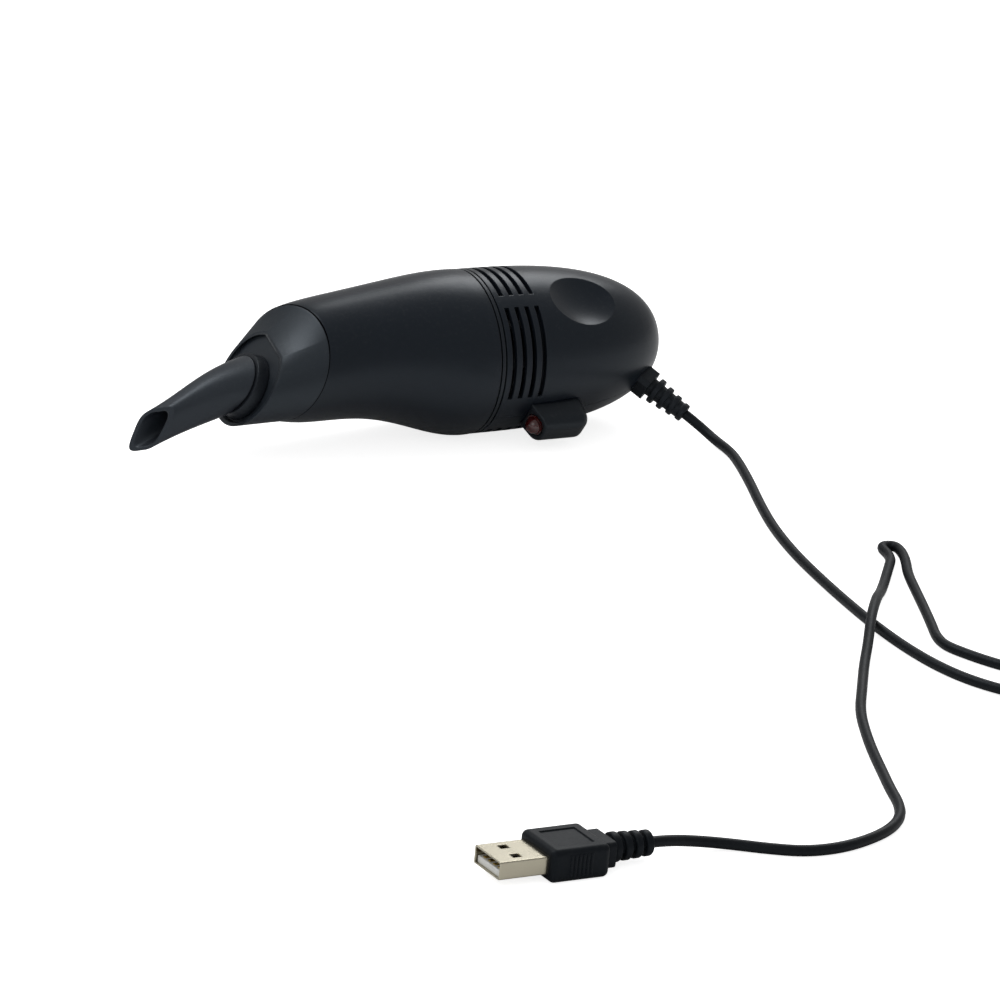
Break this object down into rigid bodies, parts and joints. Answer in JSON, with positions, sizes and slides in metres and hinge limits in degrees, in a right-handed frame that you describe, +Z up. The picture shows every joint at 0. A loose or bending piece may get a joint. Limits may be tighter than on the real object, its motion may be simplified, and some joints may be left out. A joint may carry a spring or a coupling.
{
  "type": "desktop vacuum cleaner",
  "caption": "Small handheld desktop vacuum cleaner in black plastic, with a crevice nozzle, a twist-off dust chamber, a lamp under the body and a cord with a usb plug",
  "frame": {"origin": "on the table under the middle of the cleaner, cord and plug left out", "axes": "X runs along the cleaner with the nozzle at minus X and the cord end at plus X, Y points away from the viewer, Z points up"},
  "size_m": [0.2506, 0.333, 0.0462],
  "materials": {
    "black_plastic": "moulded, satin black with a fine grain and slightly worn edges",
    "gloss_black": "moulded, smooth and half gloss, with soft highlights",
    "ring_plastic": "moulded, satin dark grey",
    "cord_rubber": "soft sheath, dull black",
    "boot_rubber": "moulded rubber, dull black",
    "shell_steel": "plated, warm silver",
    "contact_brass": "plated contact metal",
    "motor_steel": "drawn and plated motor case",
    "shaft_steel": "ground shaft",
    "armature_metal": "stacked sheet poles with copper winding",
    "magnet_black": "pressed ferrite, dull",
    "lamp_red": "clear tinted dome, dark red when unlit",
    "fan_white": "moulded, off white",
    "filter_cloth": "woven off-white filter cloth",
    "board_green": "green lacquered board",
    "resistor_body": "beige lacquered resistor with colour bands",
    "cap_white": "moulded, off white",
    "wire_red": "thin insulated wire",
    "screw_steel": "blackened screw",
    "tongue_white": "moulded, white"
  },
  "bodies": {
    "cleaner": {"housing_near": "black_plastic", "housing_far": "black_plastic", "light_pod": "gloss_black", "lamp": "lamp_red", "lamp_leads": "shell_steel", "circuit_board": "board_green", "resistor": "resistor_body", "switch_body": "magnet_black", "switch_pins": "shell_steel", "housing_screws": "screw_steel", "cord_boot": "boot_rubber", "lead_wires": "wire_red", "motor_case": "motor_steel", "motor_end_cap": "cap_white", "motor_terminals": "contact_brass", "motor_magnets": "magnet_black", "motor_plate": "black_plastic", "inlet_plate": "black_plastic", "filter_frame": "cap_white", "filter_cloth": "filter_cloth", "plug_body": "boot_rubber", "plug_shell": "shell_steel", "plug_tongue": "tongue_white", "plug_contacts": "contact_brass", "cord_coil": "cord_rubber", "coil_tie": "boot_rubber", "cord_to_coil": "cord_rubber", "cord_to_plug": "cord_rubber"},
    "lock": {"lock_ring": "ring_plastic"},
    "chamber": {"dust_chamber": "black_plastic", "front_cone": "gloss_black"},
    "collar": {"nozzle_collar": "ring_plastic"},
    "nozzle": {"nozzle": "black_plastic"},
    "rotor": {"motor_shaft": "shaft_steel", "armature": "armature_metal", "fan_wheel": "fan_white"},
    "slider": {"switch_slider": "ring_plastic"}
  },
  "joints": [
    {"name": "chamber_twist", "type": "hinge", "parent": "cleaner", "child": "lock", "pos_m": [0.0184, 0.0012, 0.02302], "axis": [1, 0, 0], "range_deg": [0, 25]},
    {"name": "chamber_pull", "type": "slide", "parent": "lock", "child": "chamber", "axis": [-1, 0, 0], "range_m": [0, 0.04]},
    {"name": "collar_turn", "type": "hinge", "parent": "chamber", "child": "collar", "pos_m": [-0.04943, 0.0012, 0.01809], "axis": [-0.891, 0, 0.454], "continuous": true},
    {"name": "nozzle_pull", "type": "slide", "parent": "collar", "child": "nozzle", "axis": [-0.891, 0, 0.454], "range_m": [0, 0.006]},
    {"name": "rotor_spin", "type": "hinge", "parent": "cleaner", "child": "rotor", "pos_m": [0.0184, 0.0012, 0.02302], "axis": [1, 0, 0], "continuous": true},
    {"name": "switch_slide", "type": "slide", "parent": "cleaner", "child": "slider", "axis": [0.9724, -0.1874, -0.1392], "range_m": [0, 0.003]}
  ]
}
